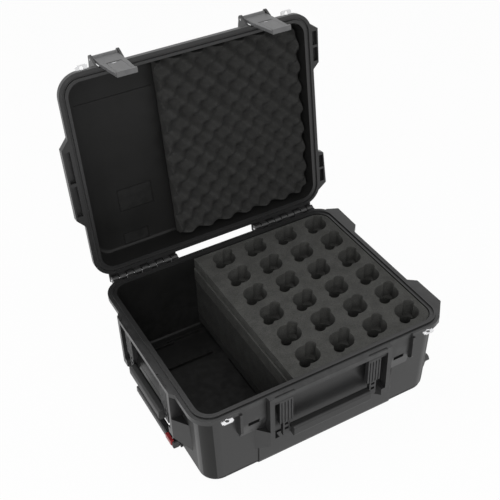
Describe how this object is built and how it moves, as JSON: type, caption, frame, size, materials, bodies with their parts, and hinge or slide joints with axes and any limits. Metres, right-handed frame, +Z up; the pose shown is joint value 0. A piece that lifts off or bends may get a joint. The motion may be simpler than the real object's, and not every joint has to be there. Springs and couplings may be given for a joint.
{
  "type": "microphone case",
  "caption": "Wheeled moulded case for hand-held microphones, lid open: socketed foam block, storage bay, egg-crate lid foam, latches, carrying handles and a pull handle.",
  "frame": {"origin": "on the floor under the middle of the rim, at the centre pad of the base", "axes": "+X to the wheels, +Y to the lid hinge, +Z up"},
  "size_m": [0.65, 0.6546, 0.739],
  "materials": {
    "shell_plastic": "moulded, fine grain",
    "latch_plastic": "moulded, satin",
    "stainless": "bright",
    "steel": "plain",
    "tube_metal": "satin",
    "foam": "open-cell foam, matt",
    "seal_rubber": "smooth",
    "grip_rubber": "fine grain",
    "handle_plastic": "moulded",
    "tyre": "moulded",
    "red_plastic": "moulded"
  },
  "bodies": {
    "case": {"base_shell": "shell_plastic", "mic_foam_top": "foam", "mic_foam_top_rear": "foam", "mic_foam_top_edge": "foam", "mic_foam_layer": "foam", "mic_foam_layer_edge": "foam", "mic_foam_bars": "foam", "mic_foam_end": "foam", "mic_foam_base": "foam", "base_hasp_left": "stainless", "base_hasp_right": "stainless", "guide_tube_front": "tube_metal", "guide_tube_rear": "tube_metal", "wheel_liner_front": "handle_plastic", "wheel_liner_rear": "handle_plastic", "axle_front": "steel", "axle_rear": "steel", "liner_screws": "steel", "front_handle_pins": "steel", "side_handle_pins": "steel", "pressure_vent": "handle_plastic", "vent_seal": "seal_rubber", "hinge_pin_left": "steel", "hinge_pin_right": "steel"},
    "lid": {"lid_shell": "shell_plastic", "lid_seal": "seal_rubber", "lid_foam": "foam", "lid_hasp_left": "stainless", "lid_hasp_right": "stainless", "latch_pin_left": "steel", "latch_pin_right": "steel"},
    "latch_left": {"latch_left": "latch_plastic", "trigger_pin_left": "steel", "trigger_spring_left": "steel"},
    "latch_right": {"latch_right": "latch_plastic", "trigger_pin_right": "steel", "trigger_spring_right": "steel"},
    "trigger_left": {"trigger_left": "latch_plastic"},
    "trigger_right": {"trigger_right": "latch_plastic"},
    "front_handle": {"front_handle_frame": "handle_plastic", "front_handle_grip": "grip_rubber"},
    "side_handle": {"side_handle_frame": "handle_plastic", "side_handle_grip": "grip_rubber"},
    "pull_handle": {"pull_tube_front": "tube_metal", "pull_tube_rear": "tube_metal", "pull_grip": "handle_plastic", "button_spring": "steel"},
    "release_button": {"release_button": "red_plastic"},
    "wheel_front": {"tyre_front": "tyre", "hub_front": "handle_plastic", "bearings_front": "steel"},
    "wheel_rear": {"tyre_rear": "tyre", "hub_rear": "handle_plastic", "bearings_rear": "steel"}
  },
  "joints": [
    {"name": "lid_hinge", "type": "hinge", "parent": "case", "child": "lid", "pos_m": [0, 0.258, 0.2164], "axis": [1, 0, 0], "range_deg": [0, 97.25]},
    {"name": "latch_left_swing", "type": "hinge", "parent": "lid", "child": "latch_left", "pos_m": [-0.18, 0.3676, 0.71657], "axis": [1, 0, 0], "range_deg": [-105, 3]},
    {"name": "trigger_left_pull", "type": "hinge", "parent": "latch_left", "child": "trigger_left", "pos_m": [-0.18, 0.31192, 0.72264], "axis": [1, 0, 0], "range_deg": [-20, 0], "stiffness_Nm_per_rad": 0.3},
    {"name": "latch_right_swing", "type": "hinge", "parent": "lid", "child": "latch_right", "pos_m": [0.18, 0.3676, 0.71657], "axis": [1, 0, 0], "range_deg": [-105, 3]},
    {"name": "trigger_right_pull", "type": "hinge", "parent": "latch_right", "child": "trigger_right", "pos_m": [0.18, 0.31192, 0.72264], "axis": [1, 0, 0], "range_deg": [-20, 0], "stiffness_Nm_per_rad": 0.3},
    {"name": "front_handle_swing", "type": "hinge", "parent": "case", "child": "front_handle", "pos_m": [0, -0.246, 0.2], "axis": [1, 0, 0], "range_deg": [-95, 0]},
    {"name": "side_handle_swing", "type": "hinge", "parent": "case", "child": "side_handle", "pos_m": [-0.305, 0, 0.2], "axis": [0, 1, 0], "range_deg": [0, 95]},
    {"name": "pull_handle_slide", "type": "slide", "parent": "case", "child": "pull_handle", "axis": [-1, 0, 0], "range_m": [0, 0.38]},
    {"name": "release_button_press", "type": "slide", "parent": "pull_handle", "child": "release_button", "axis": [1, 0, 0], "range_m": [0, 0.004], "stiffness_N_per_m": 300},
    {"name": "wheel_front_spin", "type": "hinge", "parent": "case", "child": "wheel_front", "pos_m": [0.249, -0.189, 0.054], "axis": [0, 1, 0], "continuous": true},
    {"name": "wheel_rear_spin", "type": "hinge", "parent": "case", "child": "wheel_rear", "pos_m": [0.249, 0.189, 0.054], "axis": [0, 1, 0], "continuous": true}
  ]
}
